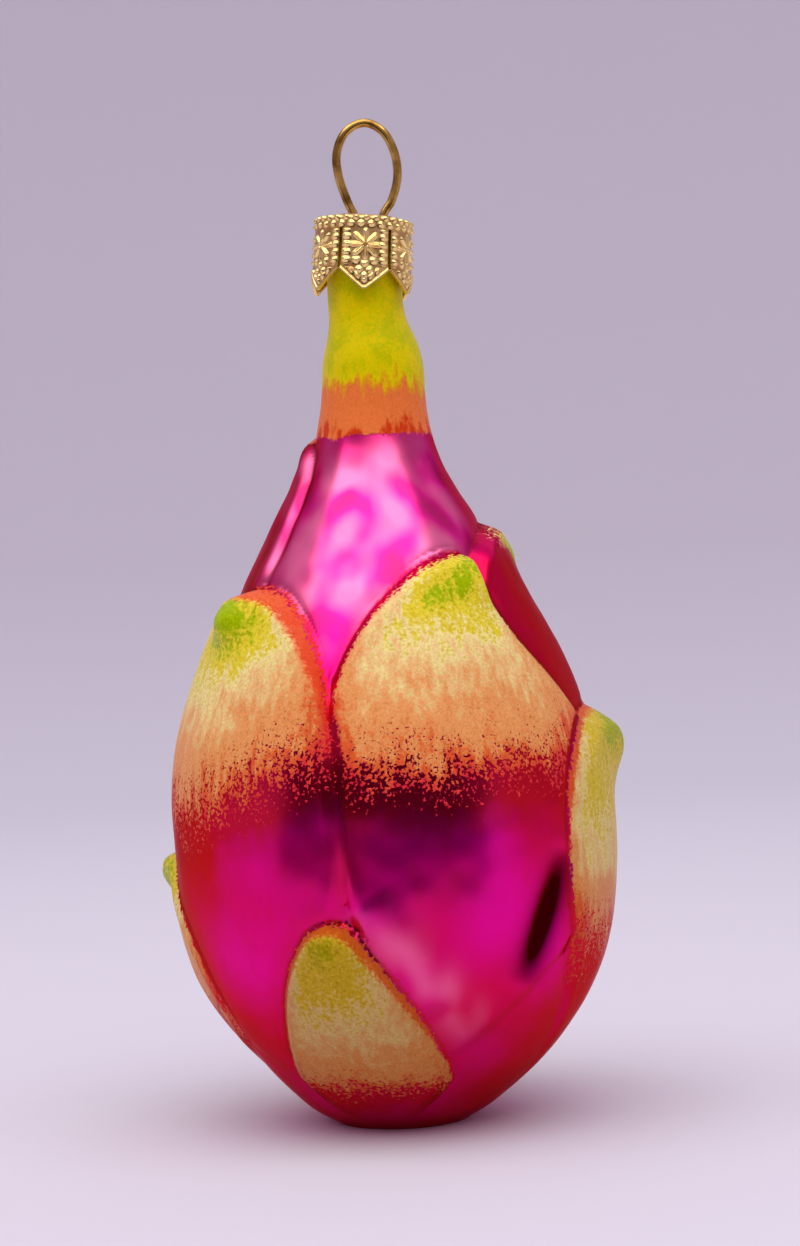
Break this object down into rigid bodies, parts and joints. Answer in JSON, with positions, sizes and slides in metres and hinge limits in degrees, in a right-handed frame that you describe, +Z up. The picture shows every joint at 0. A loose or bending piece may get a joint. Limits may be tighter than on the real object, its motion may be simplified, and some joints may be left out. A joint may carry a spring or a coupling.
{
  "type": "glass dragon fruit ornament",
  "caption": "Blown glass dragon fruit ornament with raised scales, an open neck, a gold crown cap and a brass wire hanging loop.",
  "frame": {"origin": "centre of the small flat spot the fruit stands on", "axes": "+Z up along the fruit towards the hanging loop, -Y towards the viewer of the picture, +X to that viewer's right"},
  "size_m": [0.0533, 0.0513, 0.1146],
  "materials": {
    "lacquered_glass": "silvered inside, with glossy magenta lacquer and painted scale tips",
    "cap_metal": "satin gold anodised stamping",
    "wire_brass": "drawn spring wire"
  },
  "bodies": {
    "root": {"glass_fruit": "lacquered_glass", "crown_cap": "cap_metal", "wire_hanger": "wire_brass"}
  },
  "joints": []
}
